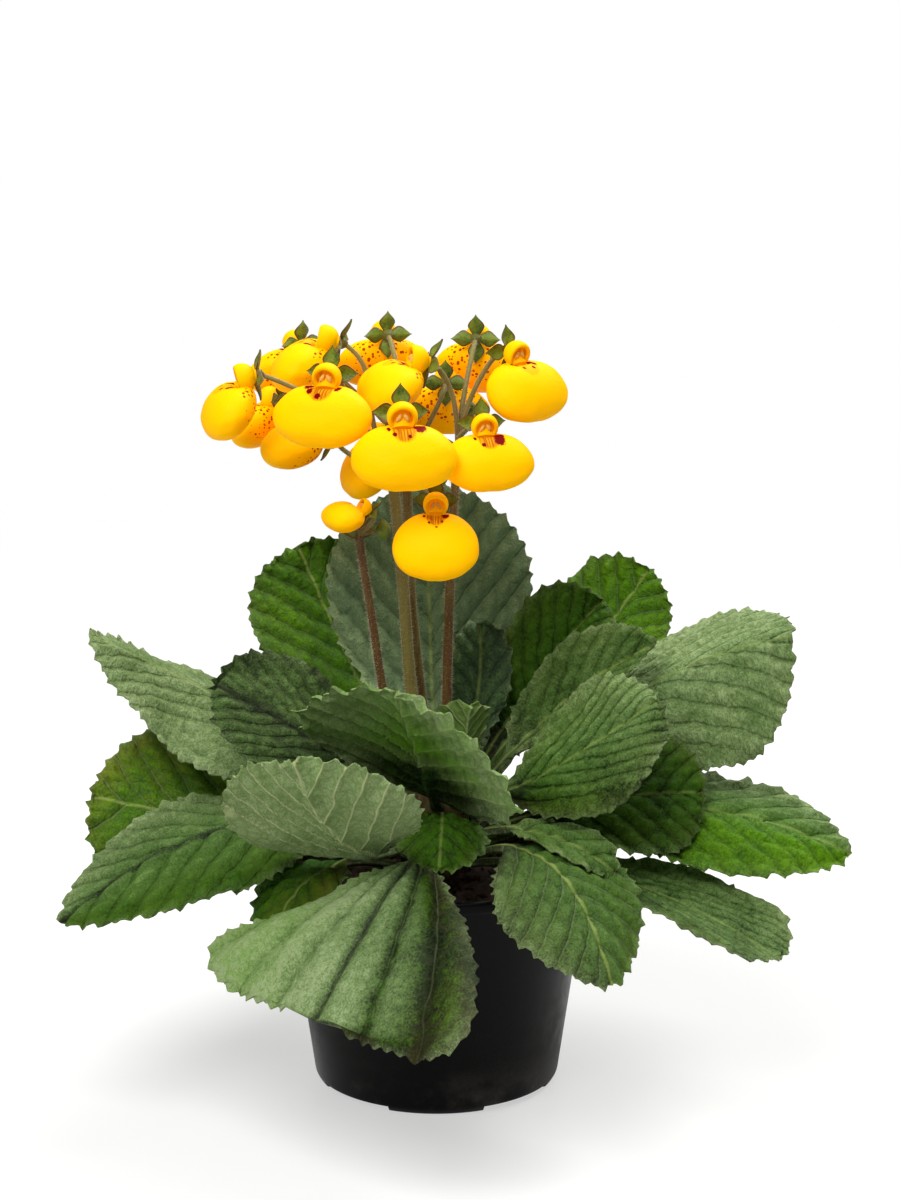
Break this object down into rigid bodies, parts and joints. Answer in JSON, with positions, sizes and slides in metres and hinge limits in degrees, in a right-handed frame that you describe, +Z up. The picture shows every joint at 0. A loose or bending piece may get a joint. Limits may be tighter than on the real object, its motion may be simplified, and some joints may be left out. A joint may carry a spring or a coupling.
{
  "type": "potted pocketbook plant",
  "caption": "Flowering pocketbook plant in a round tapered nursery pot: a rosette of broad toothed leaves under upright stems of yellow pouched blooms.",
  "frame": {"origin": "centre of the level pad in the pot's base, on the surface that the pot stands on", "axes": "+Z up along the pot's axis; -Y is the plant's front, with its hanging leaves and most of its blooms; +X is on the right seen from the front"},
  "size_m": [0.2544, 0.2205, 0.2524],
  "materials": {
    "pot": "satin black moulded plastic",
    "soil": "dark, crumbly, moist potting soil",
    "crown": "dull green-brown stem base",
    "leaf": "matt, softly hairy green, paler underneath",
    "scape": "olive to reddish brown stems with green sepals, finely hairy",
    "bloom": "satin yellow, orange in the throat, with dark red blotches"
  },
  "bodies": {
    "root": {"pot": "pot", "soil": "soil", "crown": "crown", "leaf_front_wide": "leaf", "leaf_front_right": "leaf", "leaf_front_small": "leaf", "leaf_front_raised": "leaf", "leaf_centre_awning": "leaf", "leaf_left_small": "leaf", "leaf_left_low": "leaf", "leaf_left_broad": "leaf", "leaf_left_high": "leaf", "leaf_left_middle": "leaf", "leaf_back_left": "leaf", "leaf_back_tall": "leaf", "leaf_inner_dark": "leaf", "leaf_inner_bright": "leaf", "leaf_back_low_left": "leaf", "leaf_back_hanging": "leaf", "leaf_back_low_middle": "leaf", "leaf_back_low_right": "leaf", "leaf_back_middle_left": "leaf", "leaf_back_middle_right": "leaf", "leaf_back_right": "leaf", "leaf_right_folded": "leaf", "leaf_right_curled": "leaf", "leaf_right_centre": "leaf", "leaf_right_high": "leaf", "leaf_right_under": "leaf", "leaf_right_long": "leaf", "leaf_right_low": "leaf", "leaf_right_narrow": "leaf", "scape_left": "scape", "scape_middle": "scape", "scape_behind": "scape", "scape_right": "scape", "bloom_far_left": "bloom", "bloom_upper_left": "bloom", "bloom_centre_left": "bloom", "bloom_lower_left": "bloom", "bloom_left_hidden": "bloom", "bloom_front_centre": "bloom", "bloom_front_low": "bloom", "bloom_low_behind": "bloom", "bloom_back_centre": "bloom", "bloom_back_left": "bloom", "bloom_back_middle": "bloom", "bloom_front_right": "bloom", "bloom_far_right": "bloom", "bloom_back_right": "bloom", "bloom_upper_centre": "bloom", "bloom_young": "bloom"}
  },
  "joints": []
}
